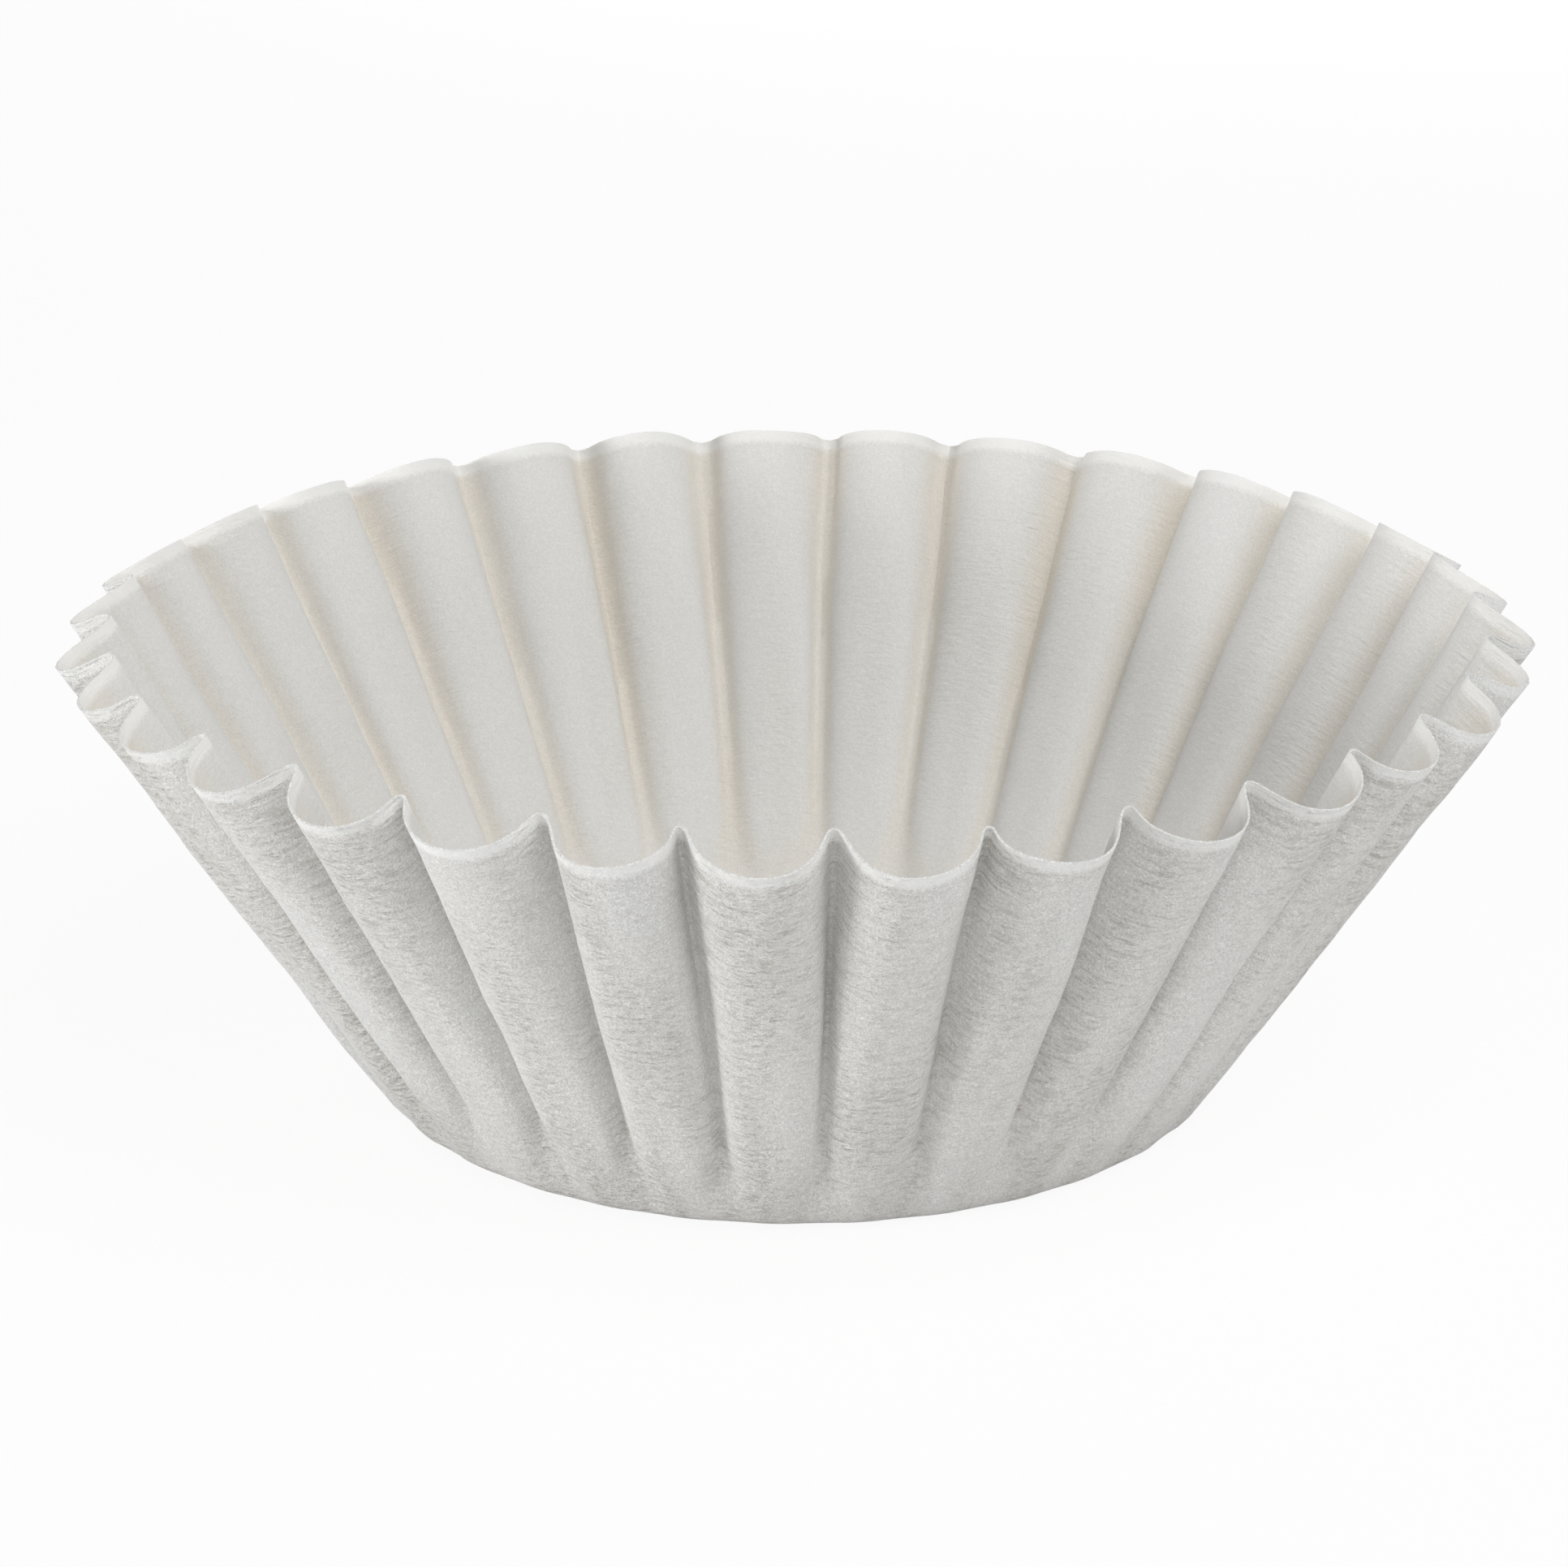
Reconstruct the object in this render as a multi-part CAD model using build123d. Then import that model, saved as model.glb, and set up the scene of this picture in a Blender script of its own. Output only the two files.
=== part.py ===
from build123d import *
import math
import os

# A basket coffee filter: one round sheet of filter paper, pressed into a flat floor and a
# fluted wall. Millimetres, +Z up, with the origin at the middle of the floor's underside.

# The sheet as it is cut
sheet_diameter = 203.0
paper_thickness = 0.2

# The pressed bowl: a flat floor, a bend, and a straight wall that is left as the creases
floor_diameter = 82.5
floor_bend_radius = 4.0
bend_flats = 3
crease_slope = 62.5

# The flutes: each is pressed out of the wall as a round lobe, which leans out more than a crease
flute_count = 32
first_flute_turn = 8.44
flute_start = 1.5
lobe_radius = 7.0
flute_lean = 5.8

# How far a block that shapes or trims the paper runs past it
overrun = 12.0

# Worked out from the sizes above
floor_radius = floor_diameter / 2
sheet_reach = sheet_diameter / 2 - floor_radius
flute_turn = 360 / flute_count
lobe_slope = crease_slope - flute_lean


def bend_arc(depth):
    """The bend from the floor to the wall, in the plane of radius and height."""
    centre = (floor_radius, floor_bend_radius)
    return CenterArc(centre, floor_bend_radius - depth, -90, crease_slope)


def direction(slope):
    """A unit step up a line of this slope, in the plane of radius and height."""
    return Vector(1, 0).rotate(Axis.Z, slope)


def flute_foot(depth):
    """The point where a lobe leaves the wall, at a depth in from the outer skin."""
    half_apart = math.radians(crease_slope - lobe_slope) / 2
    inward = direction((crease_slope + lobe_slope) / 2 + 90)
    on_skin = bend_arc(0) @ 1 + direction(crease_slope) * flute_start
    return on_skin + inward * (depth / math.cos(half_apart))


def rim_point(slope):
    """The rim of the outer skin, where the sheet runs up a lobe or a crease of this slope."""
    return flute_foot(0) + direction(slope) * (sheet_reach - bend_arc(0).length - flute_start)


def turned_sector(outline):
    """A solid from an outline of radius and height, turned through one flute."""
    return Rot(0, 0, -flute_turn / 2) * revolve(Plane.XZ * make_face(outline), Axis.Z, flute_turn)


def bowl_sector(depth):
    """One flute's sector of the bowl's inside, at a depth in from the outer skin."""
    floor = Line((0, depth), (floor_radius, depth))
    arc = bend_arc(depth)
    bend = Polyline([arc @ (step / bend_flats) for step in range(bend_flats + 1)])
    wall = Line(arc @ 1, arc @ 1 + direction(crease_slope) * (sheet_reach + overrun))
    top = Line(wall @ 1, (0, (wall @ 1).Y))
    return turned_sector([floor, bend, wall, top, Line(top @ 1, floor @ 0)])


def wedge():
    """All that lies within one flute's turn."""
    reach = sheet_diameter
    return turned_sector(Polyline((0, 0), (reach, 0), (reach, reach), (0, reach), close=True))


def lobe_block(depth):
    """The round block inside a lobe, at a depth in from the outer skin."""
    along = direction(lobe_slope)
    middle = flute_foot(depth) + direction(lobe_slope + 90) * (lobe_radius - depth)
    foot = Plane((middle.X, 0, middle.Y), z_dir=(along.X, 0, along.Y))
    upward = (Align.CENTER, Align.CENTER, Align.MIN)
    return foot * Cylinder(lobe_radius - depth, sheet_reach + overrun, align=upward)


def flute_block(depth):
    """One flute's sector of the fluted bowl's inside, at a depth in from the outer skin."""
    return bowl_sector(depth) + (lobe_block(depth) & wedge())


def above_rim():
    """One flute's sector of all that lies above the rim, which is cut square to the wall."""
    low = rim_point(lobe_slope)
    high = rim_point(crease_slope)
    fall = low - high
    inner = high - fall * (high.X / fall.X)
    outer = high + fall * ((sheet_diameter - high.X) / fall.X)
    return turned_sector(Polyline(inner, outer, (outer.X, inner.Y), close=True))


def flute_sheet():
    """One flute's sector of the paper."""
    return flute_block(0) - flute_block(paper_thickness) - above_rim()


def around(shape):
    """The shape repeated for every flute."""
    return [Rot(0, 0, first_flute_turn + flute_turn * step) * shape for step in range(flute_count)]


def floor_skin(depth):
    """The flat floor's skin, at a depth in from the outer skin."""
    edge = CenterArc((0, 0, depth), floor_radius, -flute_turn / 2, flute_turn)
    return Face(Wire(around(edge)))


def filter_sheet():
    """The whole sheet as one closed solid: a flute's curved skins, repeated, and the floor's two."""
    skins = [floor_skin(0), floor_skin(paper_thickness)]
    for face in flute_sheet().faces():
        if not face.is_planar:
            skins += around(face)
    return Solid(Shell(skins))


os.makedirs("parts", exist_ok=True)
export_step(filter_sheet(), "parts/filter_sheet.step")
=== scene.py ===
import math

import bpy
import numpy as np
from bpy.props import FloatProperty, FloatVectorProperty, IntProperty, PointerProperty
from bpy.types import Operator, Panel, PropertyGroup
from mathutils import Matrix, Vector, noise


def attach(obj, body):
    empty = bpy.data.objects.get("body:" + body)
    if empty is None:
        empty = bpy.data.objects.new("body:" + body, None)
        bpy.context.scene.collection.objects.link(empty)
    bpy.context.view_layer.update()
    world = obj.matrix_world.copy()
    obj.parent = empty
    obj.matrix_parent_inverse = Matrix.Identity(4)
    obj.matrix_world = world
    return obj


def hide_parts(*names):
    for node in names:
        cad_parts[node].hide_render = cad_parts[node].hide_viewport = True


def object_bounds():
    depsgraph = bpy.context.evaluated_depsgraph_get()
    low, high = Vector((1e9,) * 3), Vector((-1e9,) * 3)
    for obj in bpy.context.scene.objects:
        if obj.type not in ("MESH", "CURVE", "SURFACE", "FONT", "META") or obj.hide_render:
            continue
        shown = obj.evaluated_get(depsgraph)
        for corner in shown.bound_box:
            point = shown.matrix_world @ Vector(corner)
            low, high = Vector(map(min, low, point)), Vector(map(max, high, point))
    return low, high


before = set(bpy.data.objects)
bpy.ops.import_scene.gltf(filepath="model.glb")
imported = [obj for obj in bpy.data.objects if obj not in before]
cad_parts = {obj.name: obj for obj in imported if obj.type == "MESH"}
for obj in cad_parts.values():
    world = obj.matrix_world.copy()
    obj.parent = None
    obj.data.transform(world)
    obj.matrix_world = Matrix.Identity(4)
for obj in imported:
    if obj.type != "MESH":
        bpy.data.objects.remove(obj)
CAD_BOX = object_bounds()

bl_info = {
    "name": "Coffee Filter",
    "version": (1, 0, 0),
    "blender": (4, 5, 0),
    "location": "3D View > Sidebar > Coffee Filter",
    "description": "Makes a basket coffee filter of crepe paper and a pale studio round it",
    "category": "Object",
}

# The filter is one round sheet of paper. Its places are given by the turn about the middle and
# by the reach, which is the way up the paper from the floor's edge. Lengths are in metres.
MM = 0.001

# The steps that a half flute is summed in, and the halvings that find how far its paper turns
RUN_STEPS = 200
TURN_HALVINGS = 30

# How fast the front's flutes turn into the back's, and how soon the lobes round off going up
SIDE_CHANGE = 1.3
LOBE_ROUNDING = 1.5

# The lengths over which the flutes' lines stray, as shares of the wall's reach, and how much of a
# line's sideways bend is slow and how much is quick
SLOW_STRAY = 0.8
QUICK_STRAY = 0.2
LOBE_BEND = (0.8, 0.2)
CREASE_BEND = (0.7, 0.3)

# Shares of the wall's reach over which the unevenness, the ripples and the crease marks grow
UNEVEN_GROWTH = (0.1, 1)
RIPPLE_GROWTH = (0.05, 0.35)
CREASE_GROWTH = (0.06, 0.26)

# Lumps of noise to a flute, to a radian of the rim and to a metre of the floor
RIPPLES_TO_FLUTE = 0.9
WRINKLES_TO_FLUTE = 2.6
RAGS_TO_RADIAN = 9
LUMPS_TO_METRE = 60

# How steeply the rim's raggedness fades going down, as a power of the reach
RIM_FADE = 8

# Less than any depth of a flute, for use where the foot has none
HARDLY_DEEP = 1e-9

# How far apart the flutes' lines read the noise, and where each thing begins to read it
LINE_SPACING = 7.3
LOBE_DEPTH_SEED = 1.3
CREASE_DEPTH_SEED = 5.9
LOBE_BEND_SEEDS = (9.7, 13.1)
CREASE_BEND_SEEDS = (21.7, 25.1)
LEAN_SEED = 31.9
RIPPLE_SEED = 3.1
WRINKLE_SEED = 17.4
RIM_SEED = 41.7
FLOOR_SEED = 8.8

# The number of rings that the floor has inside its edge
FLOOR_RINGS = 5

# The angle above which an edge is sharp, as the cut rim's and the tightest creases' are
SHARP_ANGLE = math.radians(75)


# The paper's shape


def eased(low, high, value):
    """A smooth step from 0 at low to 1 at high."""
    share = np.clip((value - low) / (high - low), 0, 1)
    return share * share * (3 - 2 * share)


def wall_reach(sizes):
    """The way up the paper from the floor's edge to the rim."""
    return (sizes.sheet_diameter - sizes.floor_diameter) / 2


def wall_line(sizes, reach):
    """Radius, height and lean of the wall's mean line at a reach."""
    floor_radius = sizes.floor_diameter / 2
    bend_length = sizes.floor_bend_radius * sizes.wall_slope
    lean = np.minimum(reach, bend_length) / sizes.floor_bend_radius
    rising = np.maximum(reach - bend_length, 0)
    radius = floor_radius + sizes.floor_bend_radius * np.sin(lean) + rising * np.cos(lean)
    height = sizes.floor_bend_radius * (1 - np.cos(lean)) + rising * np.sin(lean)
    return radius, height, lean


def fold_run(way, crease_width, flank_width, flatness):
    """The paper's turn on the way from a lobe, 0, to a crease, 1, as a share of its most.

    Lobe and crease are round, and the flank between them is straight. Over a flatness of 1 the
    broader of the two is flat in its middle and bends most beside the narrower one.
    """
    lobe_width = 1 - flank_width - crease_width
    lobe = np.minimum(way / lobe_width, 1) ** (1 + (flatness - 1) * lobe_width)
    crease = np.minimum((1 - way) / crease_width, 1) ** (1 + (flatness - 1) * crease_width)
    return np.minimum(lobe, crease)


def running_total(values, step):
    """The integral of values along their last axis, up to each point."""
    total = np.zeros_like(values)
    total[..., 1:] = np.cumsum((values[..., 1:] + values[..., :-1]) / 2, axis=-1) * step
    return total


def turn_for_slack(run, slack, step):
    """How far the paper turns, up to a right angle, for its run to take up its slack."""
    low = np.zeros(run.shape[:-1])
    high = np.full(run.shape[:-1], 0.5 * math.pi)
    for _ in range(TURN_HALVINGS):
        turn = (low + high) / 2
        across = running_total(np.cos(turn[..., None] * run), step)[..., -1]
        too_far = 1 - across > slack
        high = np.where(too_far, turn, high)
        low = np.where(too_far, low, turn)
    return turn


def read_at(values, fine, ways):
    """Values that are given along fine, read at the ways between."""
    place = np.interp(ways, fine, np.arange(len(fine)))
    below = np.minimum(place.astype(int), len(fine) - 2)
    part = place - below
    return values[..., below] * (1 - part) + values[..., below + 1] * part


def half_flutes(sizes, reach, ways, turns):
    """How far round and how far in the paper has gone, for each half flute, reach and way.

    The way runs from the lobe, 0, to the crease, 1. The paper neither stretches nor shrinks: half a
    flute holds its share of the flat sheet's ring, so the flutes deepen towards the rim. Both
    results are lengths.
    """
    fine = np.linspace(0, 1, RUN_STEPS + 1)
    radius = wall_line(sizes, reach)[0]
    paper = math.pi * (sizes.floor_diameter / 2 + reach) / sizes.flute_count
    room = math.pi * radius / sizes.flute_count
    grown = eased(sizes.flute_start, sizes.flute_full, reach)
    back = eased(-1, 1, np.sin(turns) * SIDE_CHANGE)
    tight = sizes.front_crease_width + (sizes.back_crease_width - sizes.front_crease_width) * back
    width = sizes.foot_crease_width + (tight[:, None] - sizes.foot_crease_width) * grown
    round_off = eased(0, 1, LOBE_ROUNDING - LOBE_ROUNDING * reach / reach[-1])
    flatness = 1 + sizes.lobe_flatness * round_off
    run = fold_run(fine, width[..., None], sizes.flank_width, flatness[:, None])
    gathered = sizes.foot_gather * eased(0, sizes.flute_start, reach)
    slack = (1 - room / paper) * (gathered + (1 - sizes.foot_gather) * grown)
    turn = turn_for_slack(run, slack, fine[1])
    around = running_total(np.cos(turn[..., None] * run), fine[1])
    around = around / around[..., -1:] * room[:, None]
    inward = running_total(np.sin(turn[..., None] * run), fine[1]) * paper[:, None]
    return read_at(around, fine, ways), read_at(inward, fine, ways)


def soft_noise(x, y, z, seed):
    """Perlin noise at arrays of places."""
    places = np.stack([x + seed, y, z], axis=-1).reshape(-1, 3)
    values = np.array([noise.noise(Vector(place)) for place in places])
    return values.reshape(x.shape)


def line_wander(sizes, reach, seed, length):
    """How far each of the flutes' lines strays at each reach, as a share of about 1 at most."""
    lines = np.arange(sizes.flute_count) * LINE_SPACING
    line, along = np.meshgrid(lines, reach / length, indexing="ij")
    return 2 * soft_noise(line, along, along * 0, seed)


def line_bend(sizes, reach, seeds, shares):
    """How far each line bends sideways at each reach, slowly and quickly together."""
    slow = line_wander(sizes, reach, seeds[0], wall_reach(sizes) * SLOW_STRAY)
    quick = line_wander(sizes, reach, seeds[1], wall_reach(sizes) * QUICK_STRAY)
    return slow * shares[0] + quick * shares[1]


def flute_lines(sizes, reach_share, left_in, right_in):
    """The lift and shift round of each lobe's line and each crease's, and each flute's lean.

    The lifts come from how far in the flutes' two halves go. Each line strays in its own way.
    """
    reach = reach_share * wall_reach(sizes)
    slow = wall_reach(sizes) * SLOW_STRAY
    half_turn = math.pi / sizes.flute_count
    grown = eased(*UNEVEN_GROWTH, reach_share)
    uneven = sizes.flute_unevenness
    left_level = np.mean(left_in, axis=-1)
    right_level = np.mean(right_in, axis=-1)
    depth = (left_in[..., -1] + right_in[..., -1]) / 2
    lobe_out = line_wander(sizes, reach, LOBE_DEPTH_SEED, slow) * uneven * depth * grown
    crease_out = line_wander(sizes, reach, CREASE_DEPTH_SEED, slow) * uneven * depth * grown
    lobe_lift = (left_level + right_level) / 2 + lobe_out
    crease_left = left_level - left_in[..., -1]
    crease_right = np.roll(right_level - right_in[..., -1], 1, axis=0)
    crease_lift = (crease_left + crease_right) / 2 + crease_out
    bend = line_bend(sizes, reach, LOBE_BEND_SEEDS, LOBE_BEND)
    lobe_shift = bend * uneven * half_turn * grown
    bend = line_bend(sizes, reach, CREASE_BEND_SEEDS, CREASE_BEND)
    crease_shift = bend * uneven * half_turn * grown
    lean = line_wander(sizes, reach, LEAN_SEED, slow) * sizes.side_lean * half_turn * grown
    return (lobe_lift, lobe_shift), (crease_lift, crease_shift), lean


def between(lobe_line, crease_line, share):
    """Values between a lobe's line, at a share of 0, and a crease's, at 1."""
    return lobe_line[:, None] * (1 - share) + crease_line[:, None] * share


def joined_flutes(lobe_turns, left, right, lobe, crease, lean):
    """Turn, lift and crease share of each point, row by row and flute after flute.

    A flute's left half runs back from its lobe to its own crease, its right half to the next.
    """
    count = len(lobe_turns)
    lobe_lift, lobe_shift = lobe
    crease_lift, crease_shift = crease
    turns, lifts, shares = [], [], []
    for flute in range(count):
        halves = (
            (-1, left, flute, slice(None, 0, -1)),
            (1, right, (flute + 1) % count, slice(None, -1)),
        )
        for way, (around, inward), fold, order in halves:
            most = np.maximum(inward[flute][:, -1:], HARDLY_DEEP)
            share = (inward[flute] / most)[:, order]
            run = (around[flute] / around[flute][:, -1:])[:, order]
            shift = between(lobe_shift[flute], crease_shift[fold], share)
            # The lean moves the flanks and leaves the lobe's and the crease's line in place
            shift = shift + lean[flute][:, None] * 4 * (1 - share) * share * run
            turns.append(lobe_turns[flute] + way * run * math.pi / count + shift)
            lifts.append(between(lobe_lift[flute], crease_lift[fold], share))
            shares.append(share)
    return [np.concatenate(rows, axis=1) for rows in (turns, lifts, shares)]


def wall_points(sizes):
    """The wall's middle surface as rows of points, with each one's turn, reach and crease mark."""
    reach_share = np.linspace(0, 1, sizes.wall_rows + 1)
    reach = reach_share * wall_reach(sizes)
    ways = 1 - (1 - np.linspace(0, 1, sizes.half_flute_steps + 1)) ** sizes.crease_crowding
    flute_turn = 2 * math.pi / sizes.flute_count
    lobe_turns = sizes.first_flute_turn + flute_turn * np.arange(sizes.flute_count)
    left = half_flutes(sizes, reach, ways, lobe_turns - flute_turn / 4)
    right = half_flutes(sizes, reach, ways, lobe_turns + flute_turn / 4)
    lobe, crease, flute_lean = flute_lines(sizes, reach_share, left[1], right[1])
    turn, lift, crease_share = joined_flutes(lobe_turns, left, right, lobe, crease, flute_lean)
    reach = np.broadcast_to(reach[:, None], turn.shape)

    # The dry paper is never quite smooth, and its rim is never cut quite true
    flutes_round = sizes.flute_count / (2 * math.pi)
    ring = np.stack([np.cos(turn), np.sin(turn)])
    spots = ring * flutes_round * RIPPLES_TO_FLUTE
    soft = soft_noise(*spots, reach / sizes.ripple_length, RIPPLE_SEED)
    spots = ring * flutes_round * WRINKLES_TO_FLUTE
    fine = soft_noise(*spots, reach / sizes.wrinkle_length, WRINKLE_SEED)
    settled = eased(*RIPPLE_GROWTH, reach_share)[:, None]
    lift = lift + settled * (soft * sizes.ripple_height + fine * sizes.wrinkle_height)
    ragged = soft_noise(*(ring * RAGS_TO_RADIAN), reach * 0, RIM_SEED) * sizes.rim_raggedness
    trim = ragged * (reach / wall_reach(sizes)) ** RIM_FADE

    radius, height, lean = wall_line(sizes, reach)
    out = radius + lift * np.sin(lean) + trim * np.cos(lean)
    up = height - lift * np.cos(lean) + trim * np.sin(lean) + sizes.paper_thickness / 2
    points = np.stack([out * np.cos(turn), out * np.sin(turn), up], axis=-1)
    return points, turn, reach, crease_share * eased(*CREASE_GROWTH, reach_share)[:, None]


def skins(points, thickness):
    """The paper's outer and inner skin, half its thickness each side of its middle surface."""
    ring_way = np.roll(points, -1, axis=1) - np.roll(points, 1, axis=1)
    up_way = np.gradient(points, axis=0)
    across = np.cross(ring_way, up_way)
    across /= np.linalg.norm(across, axis=-1, keepdims=True)
    across[0] = (0, 0, -1)
    return points + across * thickness / 2, points - across * thickness / 2


def grid_faces(first, rows, columns, flip):
    """Quads between the rows of a grid that closes round on itself."""
    column = np.arange(columns)
    after = (column + 1) % columns
    faces = []
    for row in range(rows):
        low = first + row * columns
        high = low + columns
        quads = np.stack([low + column, low + after, high + after, high + column], axis=1)
        faces += (quads[:, ::-1] if flip else quads).tolist()
    return faces


def halving_faces(outer, inner, flip):
    """Faces between a ring and the next one in, which has half as many points."""
    faces = []
    for place in range(len(inner)):
        beyond = (place + 1) % len(inner)
        face = [outer[2 * place], outer[2 * place + 1], outer[(2 * place + 2) % len(outer)]]
        face += [inner[beyond], inner[place]]
        faces.append(face[::-1] if flip else face)
    return faces


def floor_rings(edge, level, sizes):
    """Rings of points for the floor, each half as fine as the one outside it."""
    rings = []
    ring = edge[::2]
    smallest = sizes.floor_ring_share
    for share in np.linspace(1 - smallest, smallest, FLOOR_RINGS):
        spots = ring[:, :2].T * LUMPS_TO_METRE
        lifted = soft_noise(*spots, spots[0] * 0, FLOOR_SEED)
        hump = (1 - share) * sizes.floor_unevenness * (0.5 + 0.5 * lifted)
        rings.append(np.column_stack([ring[:, :2] * share, level + hump]))
        ring = ring[::2]
    return rings


def mark_points(mesh, runs, folds, sides):
    """Writes each point's place on the sheet, its crease mark and its side of the paper."""
    mesh.attributes.new("sheet_run", "FLOAT_VECTOR", "POINT").data.foreach_set(
        "vector", np.array(runs).ravel()
    )
    sides = np.array(sides)
    for name, values in (("fold", folds), ("inside", sides), ("outside", 1 - sides)):
        mesh.attributes.new(name, "FLOAT", "POINT").data.foreach_set("value", np.array(values))


def build_sheet(sizes):
    """The whole sheet as one closed mesh: two skins, joined at the rim."""
    points, turn, reach, crease = wall_points(sizes)
    outer, inner = skins(points, sizes.paper_thickness)
    rows = turn.shape[0] - 1
    columns = turn.shape[1]
    wall_runs = np.stack([np.cos(turn), np.sin(turn), reach / MM], axis=-1).reshape(-1, 3).tolist()
    verts, faces, runs, folds, sides, rim = [], [], [], [], [], []
    for inside, skin in ((False, outer), (True, inner)):
        first = len(verts)
        verts += skin.reshape(-1, 3).tolist()
        runs += wall_runs
        folds += crease.reshape(-1).tolist()
        faces += grid_faces(first, rows, columns, inside)
        rim.append(first + rows * columns + np.arange(columns))
        edge = list(range(first, first + columns))
        for ring in floor_rings(skin[0], skin[0, 0, 2], sizes):
            start = len(verts)
            verts += ring.tolist()
            length = np.hypot(ring[:, 0], ring[:, 1]) / (sizes.floor_diameter / 2)
            angle = np.arctan2(ring[:, 1], ring[:, 0])
            spots = np.stack([length * np.cos(angle), length * np.sin(angle), angle * 0], axis=-1)
            runs += spots.tolist()
            folds += [0.0] * len(ring)
            within = list(range(start, start + len(ring)))
            faces += halving_faces(edge, within, not inside)
            edge = within
        faces.append(edge if inside else edge[::-1])
        sides += [float(inside)] * (len(verts) - first)
    after = [np.roll(line, -1) for line in rim]
    edge_faces = np.stack([rim[0], after[0], after[1], rim[1]], axis=1).tolist()
    mesh = bpy.data.meshes.new("filter_sheet_paper")
    mesh.from_pydata(verts, [], faces + edge_faces)
    mark_points(mesh, runs, folds, sides)
    material_index = np.zeros(len(mesh.polygons), dtype=np.int32)
    material_index[len(faces):] = 1
    mesh.polygons.foreach_set("material_index", material_index)
    mesh.shade_smooth()
    mesh.set_sharp_from_angle(angle=SHARP_ANGLE)
    mesh.validate()
    return mesh


# The paper's looks

# The paper's finish, which is matt
PAPER_ROUGHNESS = 0.92
PAPER_GLOSS = 0.25

# What a tone goes from and to, for each mark to grow from none to full
WEAVE_TONES = (0.15, 0.38)
CLOUD_TONES = (0.3, 0.7)
# The crepe's hollows get painted shade, darker where the wrinkles are low
HOLLOW_SHADE_TONES = (0.52, 0.34)

# The same for the bands that the crepe is deeper in, with what is left of it between them
BAND_TONES = (0.4, 0.62)
BETWEEN_BANDS = 0.25

# The same for the crease mark, which the painted shade in the outer creases and the painted warm
# shade beside the inner folds follow, and for the reach in millimetres
CREASE_SHADE_FOLD = (0.88, 1.0)
INNER_SHADE_FOLD = (0.75, 0.2)
INNER_SHADE_REACH = (2, 14)


def feed(tree, value, target):
    """Gives an input its value, which is an output, a number or a colour."""
    if isinstance(value, bpy.types.NodeSocket):
        tree.links.new(value, target)
    elif target.type == "RGBA":
        target.default_value = (*value, 1.0)
    else:
        target.default_value = value


def node(tree, kind, **values):
    """A new node, with its settings or its inputs given by name.

    An input's name may be in small letters unless a setting has the same name, as a colour's does.
    """
    made = tree.nodes.new(kind)
    for name, value in values.items():
        if hasattr(made, name):
            setattr(made, name, value)
        else:
            feed(tree, value, made.inputs[name.replace("_", " ").title()])
    return made


def math_node(tree, operation, first, second):
    """What an operation makes of two values, each an output or a number."""
    made = node(tree, "ShaderNodeMath", operation=operation)
    feed(tree, first, made.inputs[0])
    feed(tree, second, made.inputs[1])
    return made.outputs[0]


def spread(tree, value, low, high, least=0.0):
    """A value's range from low to high, as a share from the least to 1."""
    share = node(
        tree, "ShaderNodeMapRange", value=value, from_min=low, from_max=high, to_min=least
    )
    return share.outputs["Result"]


def attribute(tree, name, output):
    """One of the mesh's own marks, as a value or a vector."""
    return node(tree, "ShaderNodeAttribute", attribute_name=name).outputs[output]


def blend_colour(tree, factor, first, second, blend_type="MIX"):
    """Two colours, each an output or a colour, blended at a factor's output."""
    mix = node(tree, "ShaderNodeMix", data_type="RGBA", blend_type=blend_type, factor=factor)
    colours = [socket for socket in mix.inputs if socket.type == "RGBA"]
    feed(tree, first, colours[0])
    feed(tree, second, colours[1])
    return [socket for socket in mix.outputs if socket.type == "RGBA"][0]


def tinted(tree, colour, tint, strength, *masks):
    """A colour that a tint multiplies, as far as the strength and the masks' product let it."""
    factor = masks[0]
    for mask in masks[1:] + (strength,):
        factor = math_node(tree, "MULTIPLY", factor, mask)
    return blend_colour(tree, factor, colour, tint, "MULTIPLY")


def relief(tree, height, distance, below=None):
    """The normal that a height gives at a distance, over the normal below it."""
    bump = node(tree, "ShaderNodeBump", strength=1.0, distance=distance)
    feed(tree, height, bump.inputs["Height"])
    if below is not None:
        feed(tree, below, bump.inputs["Normal"])
    return bump.outputs["Normal"]


def new_group(name, inputs, outputs):
    """An empty shader node group with named float inputs and outputs."""
    group = bpy.data.node_groups.new(name, "ShaderNodeTree")
    for title, default in inputs.items():
        socket = group.interface.new_socket(title, in_out="INPUT", socket_type="NodeSocketFloat")
        socket.default_value = default
    for title in outputs:
        group.interface.new_socket(title, in_out="OUTPUT", socket_type="NodeSocketFloat")
    return group, group.nodes.new("NodeGroupInput"), group.nodes.new("NodeGroupOutput")


def scaled_run(tree, around, along):
    """The place on the sheet, with its two ways stretched by outputs or numbers."""
    scale = node(tree, "ShaderNodeCombineXYZ")
    for place, value in enumerate((around, around, along)):
        feed(tree, value, scale.inputs[place])
    product = node(tree, "ShaderNodeVectorMath", operation="MULTIPLY")
    feed(tree, attribute(tree, "sheet_run", "Vector"), product.inputs[0])
    feed(tree, scale.outputs[0], product.inputs[1])
    return product.outputs[0]


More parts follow.
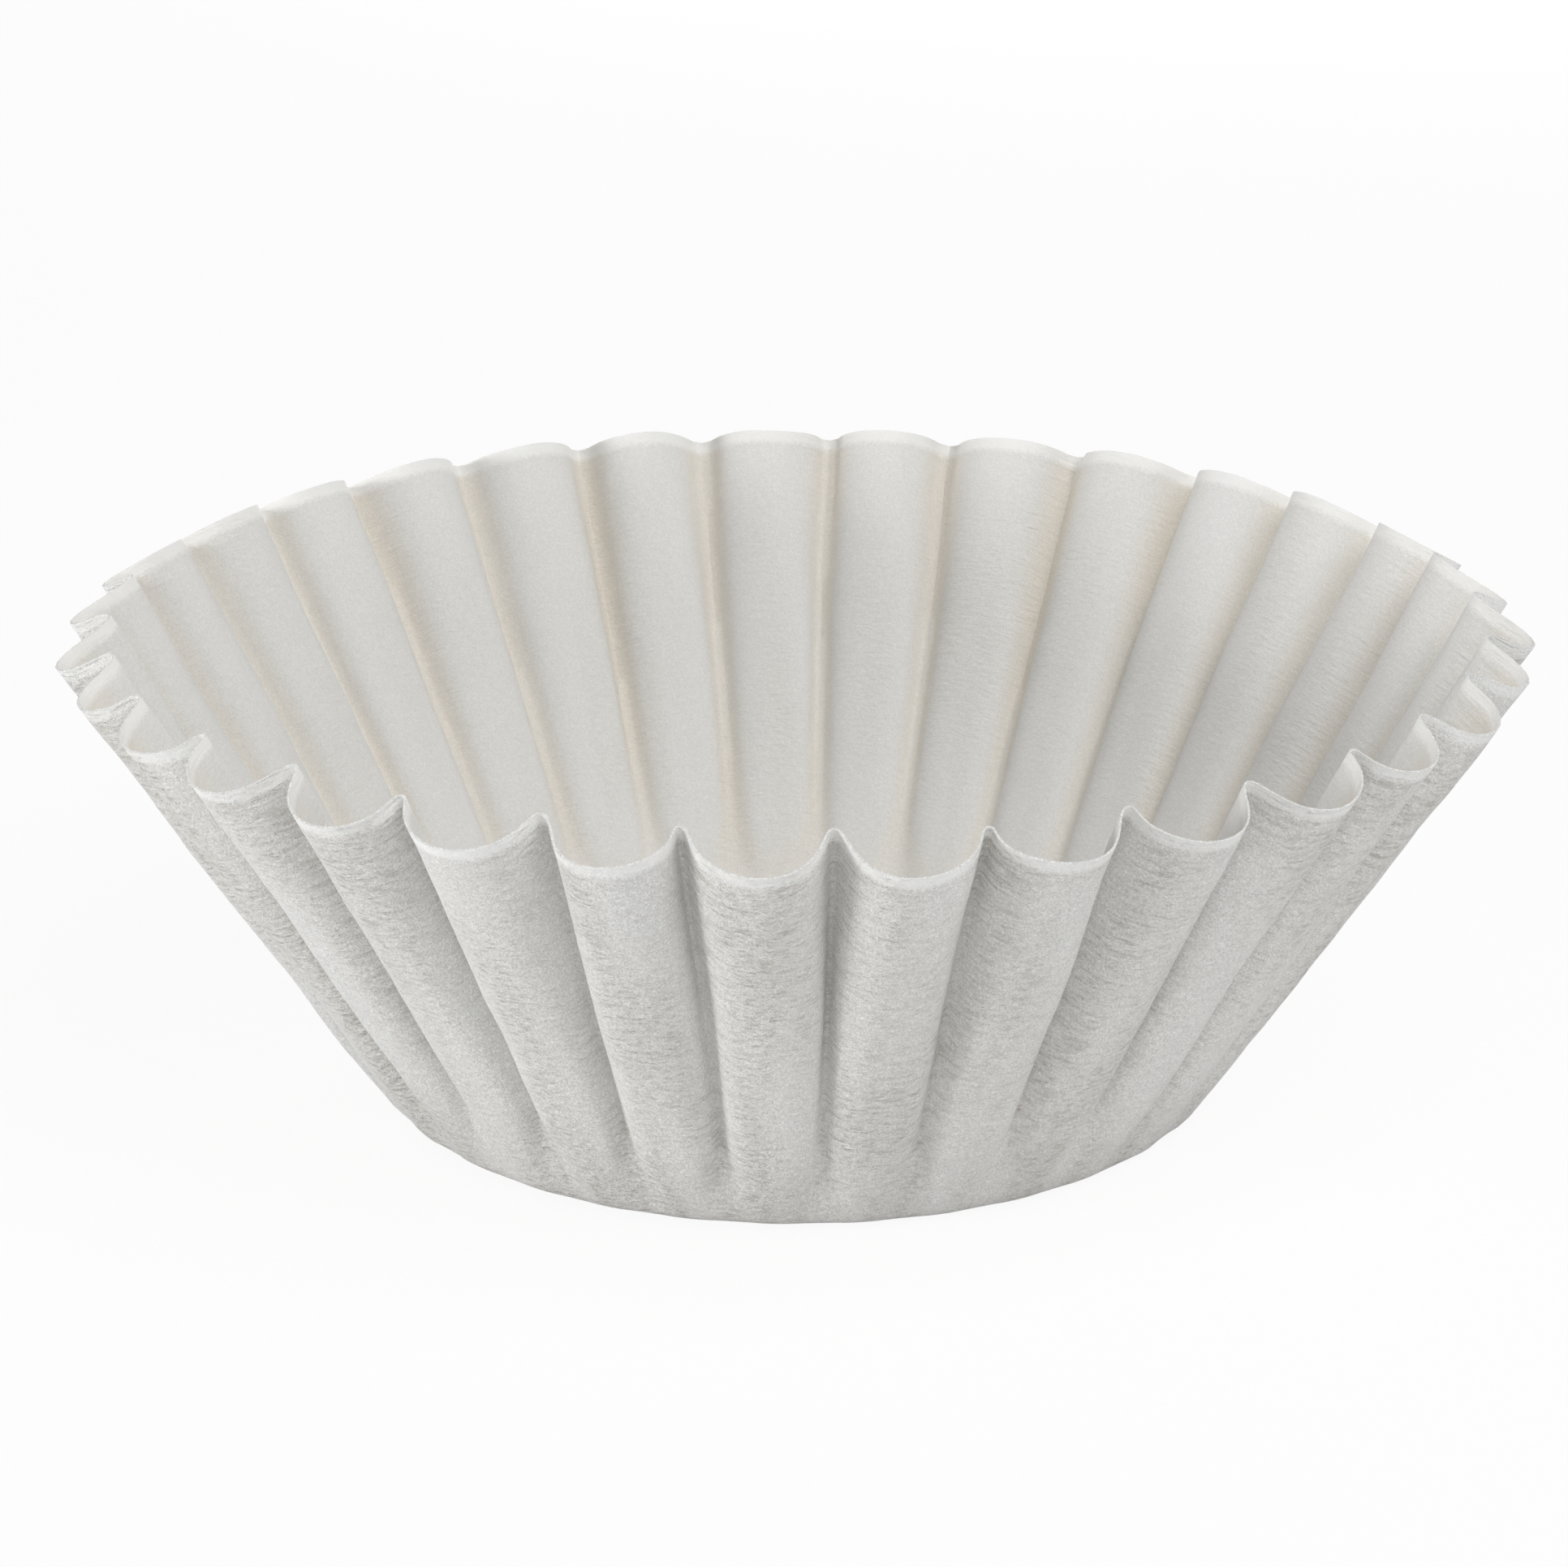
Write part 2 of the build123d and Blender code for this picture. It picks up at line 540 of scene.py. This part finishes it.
def paper_fibres_group():
    """Matted fibres: a fine tone, a fine height and a coarser one, the same in every direction."""
    inputs = {"Fibre Scale": 1.0, "Speck Scale": 1.0, "Matting Scale": 1.0}
    group, entry, leave = new_group("paper_fibres", inputs, ("Tone", "Height", "Matting"))
    place = node(group, "ShaderNodeTexCoord")
    fibres = node(group, "ShaderNodeTexNoise", detail=4.0, roughness=0.65, distortion=1.2)
    specks = node(group, "ShaderNodeTexNoise", detail=2.0, roughness=0.6)
    matting = node(group, "ShaderNodeTexNoise", detail=3.0, roughness=0.5, distortion=0.8)
    textures = {"Fibre Scale": fibres, "Speck Scale": specks, "Matting Scale": matting}
    for title, texture in textures.items():
        feed(group, place.outputs["Object"], texture.inputs["Vector"])
        feed(group, entry.outputs[title], texture.inputs["Scale"])
    tone = math_node(group, "MULTIPLY", fibres.outputs["Fac"], specks.outputs["Fac"])
    height = math_node(group, "ADD", fibres.outputs["Fac"], specks.outputs["Fac"])
    feed(group, tone, leave.inputs["Tone"])
    feed(group, height, leave.inputs["Height"])
    feed(group, matting.outputs["Fac"], leave.inputs["Matting"])
    return group


def crepe_group():
    """Crepe wrinkles, which run across the flutes, in bands that run up them, with a mask for the
    painted shade in their hollows.
    """
    inputs = {"Around": 20.0, "Along": 1.0, "Band Around": 10.0, "Band Along": 0.03}
    group, entry, leave = new_group("crepe_wrinkles", inputs, ("Tone", "Hollow", "Height"))
    wrinkles = node(
        group, "ShaderNodeTexNoise", scale=1.0, detail=3.0, roughness=0.55, distortion=0.25,
        vector=scaled_run(group, entry.outputs["Around"], entry.outputs["Along"]),
    )
    bands = node(
        group, "ShaderNodeTexNoise", scale=1.0, detail=1.0,
        vector=scaled_run(group, entry.outputs["Band Around"], entry.outputs["Band Along"]),
    )
    share = spread(group, bands.outputs["Fac"], *BAND_TONES, BETWEEN_BANDS)
    hollow_shade = spread(group, wrinkles.outputs["Fac"], *HOLLOW_SHADE_TONES)
    hollow_shade = math_node(group, "MULTIPLY", hollow_shade, share)
    height = math_node(group, "MULTIPLY", wrinkles.outputs["Fac"], share)
    feed(group, bands.outputs["Fac"], leave.inputs["Tone"])
    feed(group, hollow_shade, leave.inputs["Hollow"])
    feed(group, height, leave.inputs["Height"])
    return group


def cleared_tree(owner):
    """The node tree of a material or a world, emptied."""
    owner.use_nodes = True
    owner.node_tree.nodes.clear()
    return owner.node_tree


def paper_base(name, look, fibres_group):
    """A new matt material for the paper, with its tree, its shader and its fibres."""
    material = bpy.data.materials.new(name)
    tree = cleared_tree(material)
    leave = node(tree, "ShaderNodeOutputMaterial")
    shader = node(tree, "ShaderNodeBsdfPrincipled", roughness=PAPER_ROUGHNESS)
    shader.inputs["Specular IOR Level"].default_value = PAPER_GLOSS
    feed(tree, shader.outputs[0], leave.inputs["Surface"])
    fibres = node(
        tree, "ShaderNodeGroup", node_tree=fibres_group, fibre_scale=look.fibre_scale,
        speck_scale=look.speck_scale, matting_scale=look.matting_scale,
    )
    return material, tree, shader, fibres


def cut_edge_material(look, fibres_group):
    """The paper's cut edge, which is paler and furry."""
    material, tree, shader, fibres = paper_base("cut_paper_edge", look, fibres_group)
    weave = spread(tree, fibres.outputs["Tone"], *WEAVE_TONES)
    colour = blend_colour(tree, weave, look.fibre_colour, look.edge_colour)
    feed(tree, colour, shader.inputs["Base Color"])
    normal = relief(tree, fibres.outputs["Height"], look.fibre_height)
    feed(tree, normal, shader.inputs["Normal"])
    return material


def rim_highlight_band(tree, look, colour, reach, fibre_tone, rim_reach):
    """The colour with a painted highlight: a paler band under the rim, down to an uneven line."""
    rough = math_node(tree, "MULTIPLY", fibre_tone, look.rim_highlight_band / MM)
    start = (rim_reach - look.rim_highlight_band) / MM
    full = (rim_reach - look.rim_highlight_band / 2) / MM
    highlight = spread(tree, math_node(tree, "ADD", reach, rough), start, full)
    highlight = math_node(tree, "MULTIPLY", highlight, look.rim_highlight_strength)
    return blend_colour(tree, highlight, colour, look.edge_colour)


def crepe_paper_material(look, fibres_group, wrinkles_group, rim_reach):
    """White crepe paper, which is livelier outside, with painted shade in its outer creases and
    crepe hollows, painted warm shade beside its folds inside and a painted highlight under its rim.
    """
    material, tree, shader, fibres = paper_base("crepe_paper", look, fibres_group)
    crepe = node(
        tree, "ShaderNodeGroup", node_tree=wrinkles_group, around=look.crepe_around,
        along=look.crepe_along,
    )
    inside = attribute(tree, "inside", "Fac")
    outside = attribute(tree, "outside", "Fac")
    fold = attribute(tree, "fold", "Fac")
    place = node(tree, "ShaderNodeSeparateXYZ", vector=attribute(tree, "sheet_run", "Vector"))
    reach = place.outputs["Z"]

    calmed = math_node(tree, "MULTIPLY", inside, look.inside_calm)
    lively = math_node(tree, "SUBTRACT", 1.0, calmed)
    weave = spread(tree, fibres.outputs["Tone"], *WEAVE_TONES)
    calm_weave = math_node(tree, "MULTIPLY", calmed, look.inside_whiteness)
    weave = math_node(tree, "ADD", math_node(tree, "MULTIPLY", weave, lively), calm_weave)
    colour = blend_colour(tree, weave, look.fibre_colour, look.paper_colour)
    cloudy = spread(tree, crepe.outputs["Tone"], *CLOUD_TONES)
    colour = tinted(tree, colour, look.warm_tint, look.cloud_strength, cloudy)
    # Painted shade: the paper darkened in the crepe's hollows outside, where shade falls
    hollow_shade = crepe.outputs["Hollow"]
    colour = tinted(tree, colour, look.painted_shade_tint, look.hollow_shade_strength, hollow_shade, outside)
    # Painted shade: the paper darkened in the outer creases, where shade falls
    crease_shade = spread(tree, fold, *CREASE_SHADE_FOLD)
    colour = tinted(tree, colour, look.painted_shade_tint, look.crease_shade_strength, crease_shade, outside)
    # Painted warm shade: the inside made creamier beside its folds, where shade falls on the
    # columns' sides
    inner_shade = spread(tree, fold, *INNER_SHADE_FOLD)
    risen = spread(tree, reach, *INNER_SHADE_REACH)
    colour = tinted(tree, colour, look.warm_tint, look.inner_shade_strength, inner_shade, risen, inside)
    # Painted highlight: a paler band along the top of the wall, under the rim
    colour = rim_highlight_band(tree, look, colour, reach, fibres.outputs["Tone"], rim_reach)
    feed(tree, colour, shader.inputs["Base Color"])

    heights = (
        (crepe.outputs["Height"], look.crepe_height),
        (fibres.outputs["Matting"], look.matting_height),
        (fibres.outputs["Height"], look.fibre_height),
    )
    normal = None
    for height, distance in heights:
        height = math_node(tree, "MULTIPLY", height, lively)
        normal = relief(tree, height, distance, normal)
    feed(tree, normal, shader.inputs["Normal"])
    return material


# The sizes and colours that can be changed


class FilterSheetSizes(PropertyGroup):
    """The paper sheet and its flutes."""

    sheet_diameter: FloatProperty(
        name="Sheet Diameter", description="Across the flat round sheet", default=203 * MM,
        subtype="DISTANCE",
    )
    paper_thickness: FloatProperty(
        name="Paper Thickness", description="Thickness of the creped paper", default=0.2 * MM,
        subtype="DISTANCE",
    )
    floor_diameter: FloatProperty(
        name="Floor Diameter", description="Across the flat floor", default=82.5 * MM,
        subtype="DISTANCE",
    )
    floor_bend_radius: FloatProperty(
        name="Floor Bend Radius", description="Radius where the floor turns up", default=4 * MM,
        subtype="DISTANCE",
    )
    wall_slope: FloatProperty(
        name="Wall Slope", description="The wall's mean slope from the floor",
        default=math.radians(59.5), subtype="ANGLE",
    )
    flute_count: IntProperty(name="Flutes", description="Number of flutes", default=32, min=8)
    first_flute_turn: FloatProperty(
        name="First Flute Turn", description="Turn of the first lobe from the X axis",
        default=math.radians(8.44), subtype="ANGLE",
    )
    flute_start: FloatProperty(
        name="Flute Start", description="Reach where the flutes begin to sharpen", default=4 * MM,
        subtype="DISTANCE",
    )
    flute_full: FloatProperty(
        name="Flute Full", description="Reach where the creases are tight", default=16 * MM,
        subtype="DISTANCE",
    )
    foot_gather: FloatProperty(
        name="Foot Gather", description="Share of the slack that folds at the foot", default=0.25,
        subtype="FACTOR",
    )
    foot_crease_width: FloatProperty(
        name="Foot Crease Width", description="Crease width at the foot, of half a flute",
        default=0.45, subtype="FACTOR",
    )
    front_crease_width: FloatProperty(
        name="Front Crease Width", description="Width of the front creases, of half a flute",
        default=0.08, subtype="FACTOR",
    )
    back_crease_width: FloatProperty(
        name="Back Crease Width", description="Width of the back creases, of half a flute",
        default=0.72, subtype="FACTOR",
    )
    flank_width: FloatProperty(
        name="Flank Width", description="Width of the straight flanks, of half a flute",
        default=0.16, subtype="FACTOR",
    )
    lobe_flatness: FloatProperty(
        name="Lobe Flatness", description="How much flatter the lobes are below the rim",
        default=1.8,
    )
    flute_unevenness: FloatProperty(
        name="Flute Unevenness", description="How much the flutes differ, of half a flute",
        default=0.09, subtype="FACTOR",
    )
    side_lean: FloatProperty(
        name="Side Lean", description="How far the flutes lean sideways, of half a flute",
        default=0.12, subtype="FACTOR",
    )
    ripple_length: FloatProperty(
        name="Ripple Length", description="Length of the paper's soft ripples up the wall",
        default=16 * MM, subtype="DISTANCE",
    )
    ripple_height: FloatProperty(
        name="Ripple Height", description="Height of the soft ripples", default=0.35 * MM,
        subtype="DISTANCE",
    )
    wrinkle_length: FloatProperty(
        name="Wrinkle Length", description="Length of the wrinkles up the wall", default=3.2 * MM,
        subtype="DISTANCE",
    )
    wrinkle_height: FloatProperty(
        name="Wrinkle Height", description="Height of the wrinkles", default=0.09 * MM,
        subtype="DISTANCE",
    )
    rim_raggedness: FloatProperty(
        name="Rim Raggedness", description="How far the rim strays from true", default=0.3 * MM,
        subtype="DISTANCE",
    )
    floor_unevenness: FloatProperty(
        name="Floor Unevenness", description="How far the floor lifts in its middle",
        default=0.5 * MM, subtype="DISTANCE",
    )
    floor_ring_share: FloatProperty(
        name="Floor Ring Share", description="Radius of the floor's innermost ring, of its edge",
        default=0.12, subtype="FACTOR",
    )
    wall_rows: IntProperty(name="Wall Rows", description="Rows of faces up the wall", default=58)
    half_flute_steps: IntProperty(
        name="Half Flute Steps", description="Faces from a lobe to its crease", default=12
    )
    crease_crowding: FloatProperty(
        name="Crease Crowding", description="How much the faces crowd to the crease", default=1.8
    )


class PaperLook(PropertyGroup):
    """The paper's colours and grain."""

    paper_colour: FloatVectorProperty(
        name="Paper", description="Clean paper", subtype="COLOR", default=(0.91, 0.91, 0.90)
    )
    fibre_colour: FloatVectorProperty(
        name="Fibres", description="Between the fibres", subtype="COLOR",
        default=(0.63, 0.625, 0.61),
    )
    # Used both for the paper's creamy clouds and for the painted warm shade beside the inside's
    # folds
    warm_tint: FloatVectorProperty(
        name="Warm Tint", description="Where the paper is creamier", subtype="COLOR",
        default=(1.0, 0.94, 0.85),
    )
    # The colour of the painted shade in the outer creases and in the crepe's hollows
    painted_shade_tint: FloatVectorProperty(
        name="Valley Tint", description="The paper in a crease or hollow", subtype="COLOR",
        default=(0.54, 0.50, 0.46),
    )
    # The cut rim's colour, which is also the colour of the painted highlight under the rim
    edge_colour: FloatVectorProperty(
        name="Cut Edge", description="The paper's cut rim", subtype="COLOR",
        default=(0.96, 0.96, 0.945),
    )
    # The width and strength of the painted highlight under the rim
    rim_highlight_band: FloatProperty(
        name="Rim Highlight Band", description="Width of the paler band under the rim", default=1.4 * MM,
        subtype="DISTANCE",
    )
    rim_highlight_strength: FloatProperty(
        name="Rim Highlight Strength", description="How much the paler band shows", default=0.7,
        subtype="FACTOR",
    )
    cloud_strength: FloatProperty(
        name="Cloud Strength", description="How much the creamy clouds show", default=0.25,
        subtype="FACTOR",
    )
    # How much painted shade darkens the crepe's hollows
    hollow_shade_strength: FloatProperty(
        name="Hollow Strength", description="How much the crepe's hollows show", default=0.45,
        subtype="FACTOR",
    )
    # How much painted shade darkens the outer creases
    crease_shade_strength: FloatProperty(
        name="Valley Strength", description="How much the creases show", default=0.2,
        subtype="FACTOR",
    )
    # How much painted warm shade lies beside the inside's folds
    inner_shade_strength: FloatProperty(
        name="Inner Strength", description="How creamy the inside's folds are", default=0.55,
        subtype="FACTOR",
    )
    inside_calm: FloatProperty(
        name="Inside Calm", description="How much smoother the inside is than the outside",
        default=0.65, subtype="FACTOR",
    )
    inside_whiteness: FloatProperty(
        name="Inside Whiteness", description="How white the smooth inside is", default=0.7,
        subtype="FACTOR",
    )
    fibre_scale: FloatProperty(
        name="Fibre Scale", description="Fibres to a metre", default=3000.0
    )
    speck_scale: FloatProperty(
        name="Speck Scale", description="Specks to a metre", default=5200.0
    )
    fibre_height: FloatProperty(
        name="Fibre Height", description="Relief of the fibres", default=0.09 * MM,
        subtype="DISTANCE",
    )
    matting_scale: FloatProperty(
        name="Matting Scale", description="Lumps of matted fibre to a metre", default=1300.0
    )
    matting_height: FloatProperty(
        name="Matting Height", description="Relief of the matted fibre", default=0.16 * MM,
        subtype="DISTANCE",
    )
    crepe_around: FloatProperty(
        name="Crepe Around", description="Wrinkles to a radius, round the wall", default=38.0
    )
    crepe_along: FloatProperty(
        name="Crepe Along", description="Wrinkles to a millimetre, up the wall", default=2.0
    )
    crepe_height: FloatProperty(
        name="Crepe Height", description="Relief of the crepe wrinkles", default=0.6 * MM,
        subtype="DISTANCE",
    )


class StudioLook(PropertyGroup):
    """The pale studio and the camera."""

    camera_distance: FloatProperty(
        name="Camera Distance", description="From the camera to its aim", default=544.7 * MM,
        subtype="DISTANCE",
    )
    camera_rise: FloatProperty(
        name="Camera Rise", description="How far the camera looks down",
        default=math.radians(18.96), subtype="ANGLE",
    )
    aim_height: FloatProperty(
        name="Aim Height", description="Height of the camera's aim", default=31.6 * MM,
        subtype="DISTANCE",
    )
    lens: FloatProperty(
        name="Lens", description="Focal length on a 36 mm sensor, in millimetres", default=118.8
    )
    shift_x: FloatProperty(name="Shift X", description="Lens shift, sideways", default=-0.0080)
    shift_y: FloatProperty(name="Shift Y", description="Lens shift, upwards", default=0.0017)
    top_power: FloatProperty(
        name="Top Light", description="Power of the soft light above in front", default=4.0,
        subtype="POWER",
    )
    left_power: FloatProperty(
        name="Left Light", description="Power of the soft light low on the left", default=4.2,
        subtype="POWER",
    )
    right_power: FloatProperty(
        name="Right Light", description="Power of the soft light low on the right", default=0.75,
        subtype="POWER",
    )
    front_power: FloatProperty(
        name="Front Light", description="Power of the soft light low in front", default=0.8,
        subtype="POWER",
    )
    back_power: FloatProperty(
        name="Back Light", description="Power of the soft light low behind", default=3.6,
        subtype="POWER",
    )
    world_level: FloatProperty(
        name="Room Light", description="Level of the light all round", default=0.33
    )
    floor_level: FloatProperty(
        name="Floor Whiteness", description="How much of the floor's white is its own",
        default=0.92, subtype="FACTOR",
    )


# The operators


class FILTER_OT_sheet(Operator):
    """Make the pressed paper sheet in place of the plain one"""

    bl_idname = "coffee_filter.sheet"
    bl_label = "Make the Filter Sheet"
    bl_options = {"REGISTER", "UNDO"}

    def execute(self, context):
        sizes = context.scene.filter_sheet_sizes
        look = context.scene.filter_paper_look
        fibres = paper_fibres_group()
        wrinkles = crepe_group()
        mesh = build_sheet(sizes)
        mesh.materials.append(crepe_paper_material(look, fibres, wrinkles, wall_reach(sizes)))
        mesh.materials.append(cut_edge_material(look, fibres))
        sheet = bpy.data.objects.new("filter_sheet_paper", mesh)
        context.scene.collection.objects.link(sheet)
        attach(sheet, "root")
        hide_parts("filter_sheet")
        return {"FINISHED"}


# The studio's floor runs this far each way. Floor and background are white
STUDIO_REACH = 6.0
WHITE = (1, 1, 1)
MATT_WHITE = (0.92, 0.92, 0.92)
SENSOR_WIDTH = 36

# Each soft lamp's name, place and size, and the setting that holds its power
LAMPS = (
    ("top_light", (0.3, -0.4, 0.72), 0.6, "top_power"),
    ("left_light", (-0.77, -0.3, 0.05), 0.25, "left_power"),
    ("right_light", (0.72, -0.4, 0.05), 0.25, "right_power"),
    ("front_light", (-0.2, -0.85, 0.05), 0.25, "front_power"),
    ("back_light", (0.15, 0.85, 0.05), 0.35, "back_power"),
)


def aimed(place, target):
    """The turn that points a camera or a lamp from its place to a target."""
    return (Vector(target) - Vector(place)).to_track_quat("-Z", "Y").to_euler()


def soft_lamp(scene, name, place, target, size, power):
    """A square soft light."""
    lamp = bpy.data.lights.new(name, "AREA")
    lamp.size = size
    lamp.energy = power
    holder = bpy.data.objects.new(name, lamp)
    holder.location = place
    holder.rotation_euler = aimed(place, target)
    scene.collection.objects.link(holder)


def shown_ray(tree):
    """1 for rays that show the background: to the camera, in gloss and through glass."""
    path = node(tree, "ShaderNodeLightPath")
    seen = math_node(tree, "ADD", path.outputs["Is Camera Ray"], path.outputs["Is Glossy Ray"])
    seen = math_node(tree, "ADD", seen, path.outputs["Is Transmission Ray"])
    return math_node(tree, "MINIMUM", seen, 1.0)


def show_mix(tree, leave, factor, first, second):
    """Ends a tree in two shaders, mixed by a factor."""
    mix = node(tree, "ShaderNodeMixShader")
    feed(tree, factor, mix.inputs[0])
    feed(tree, first.outputs[0], mix.inputs[1])
    feed(tree, second.outputs[0], mix.inputs[2])
    feed(tree, mix.outputs[0], leave.inputs["Surface"])


class FILTER_OT_studio(Operator):
    """Set the pale floor, the soft light and the camera"""

    bl_idname = "coffee_filter.studio"
    bl_label = "Set the Studio"
    bl_options = {"REGISTER", "UNDO"}

    def execute(self, context):
        scene = context.scene
        look = scene.filter_studio_look
        middle = (0, 0, look.aim_height)
        self.set_floor(scene, look)
        self.set_world(scene, look)
        for name, place, size, power in LAMPS:
            soft_lamp(scene, name, place, middle, size, getattr(look, power))
        self.set_camera(scene, look, middle)
        scene.view_settings.view_transform = "Standard"
        return {"FINISHED"}

    def set_camera(self, scene, look, middle):
        """A camera that looks down on the filter from the front."""
        camera = bpy.data.cameras.new("camera")
        camera.lens = look.lens
        camera.sensor_width = SENSOR_WIDTH
        camera.shift_x = look.shift_x
        camera.shift_y = look.shift_y
        holder = bpy.data.objects.new("camera", camera)
        away = look.camera_distance * math.cos(look.camera_rise)
        rise = look.camera_distance * math.sin(look.camera_rise)
        holder.location = (0, -away, look.aim_height + rise)
        holder.rotation_euler = aimed(holder.location, middle)
        scene.collection.objects.link(holder)
        scene.camera = holder

    def set_floor(self, scene, look):
        """A large white floor that keeps the filter's shadow."""
        corners = [(-1, -1, 0), (1, -1, 0), (1, 1, 0), (-1, 1, 0)]
        corners = [(x * STUDIO_REACH, y * STUDIO_REACH, z) for x, y, z in corners]
        mesh = bpy.data.meshes.new("studio_floor")
        mesh.from_pydata(corners, [], [(0, 1, 2, 3)])
        material = bpy.data.materials.new("studio_floor")
        tree = cleared_tree(material)
        leave = node(tree, "ShaderNodeOutputMaterial")
        matt = node(tree, "ShaderNodeBsdfDiffuse", Color=MATT_WHITE)
        white = node(tree, "ShaderNodeEmission", Color=WHITE)
        factor = math_node(tree, "MULTIPLY", shown_ray(tree), look.floor_level)
        show_mix(tree, leave, factor, matt, white)
        mesh.materials.append(material)
        floor = bpy.data.objects.new("studio_floor", mesh)
        floor.location.z = CAD_BOX[0][2]
        scene.collection.objects.link(floor)

    def set_world(self, scene, look):
        """Light all round, and a white background."""
        scene.world = bpy.data.worlds.new("studio")
        tree = cleared_tree(scene.world)
        leave = node(tree, "ShaderNodeOutputWorld")
        room = node(tree, "ShaderNodeBackground", strength=look.world_level, Color=WHITE)
        white = node(tree, "ShaderNodeBackground", Color=WHITE)
        show_mix(tree, leave, shown_ray(tree), room, white)


class FILTER_PT_panel(Panel):
    """Lists the filter's steps and sizes"""

    bl_idname = "FILTER_PT_panel"
    bl_label = "Coffee Filter"
    bl_space_type = "VIEW_3D"
    bl_region_type = "UI"
    bl_category = "Coffee Filter"

    def draw(self, context):
        scene = context.scene
        self.layout.operator("coffee_filter.sheet")
        self.layout.operator("coffee_filter.studio")
        looks = (scene.filter_sheet_sizes, scene.filter_paper_look, scene.filter_studio_look)
        for settings in looks:
            column = self.layout.column(align=True)
            for name in settings.bl_rna.properties.keys():
                if name not in ("rna_type", "name"):
                    column.prop(settings, name)


CLASSES = (
    FilterSheetSizes, PaperLook, StudioLook, FILTER_OT_sheet, FILTER_OT_studio, FILTER_PT_panel,
)


def register():
    for made in CLASSES:
        bpy.utils.register_class(made)
    bpy.types.Scene.filter_sheet_sizes = PointerProperty(type=FilterSheetSizes)
    bpy.types.Scene.filter_paper_look = PointerProperty(type=PaperLook)
    bpy.types.Scene.filter_studio_look = PointerProperty(type=StudioLook)


def unregister():
    del bpy.types.Scene.filter_studio_look
    del bpy.types.Scene.filter_paper_look
    del bpy.types.Scene.filter_sheet_sizes
    for made in reversed(CLASSES):
        bpy.utils.unregister_class(made)


def main():
    """Makes the filter and its studio."""
    register()
    bpy.ops.coffee_filter.sheet()
    bpy.ops.coffee_filter.studio()


if __name__ == "__main__":
    main()
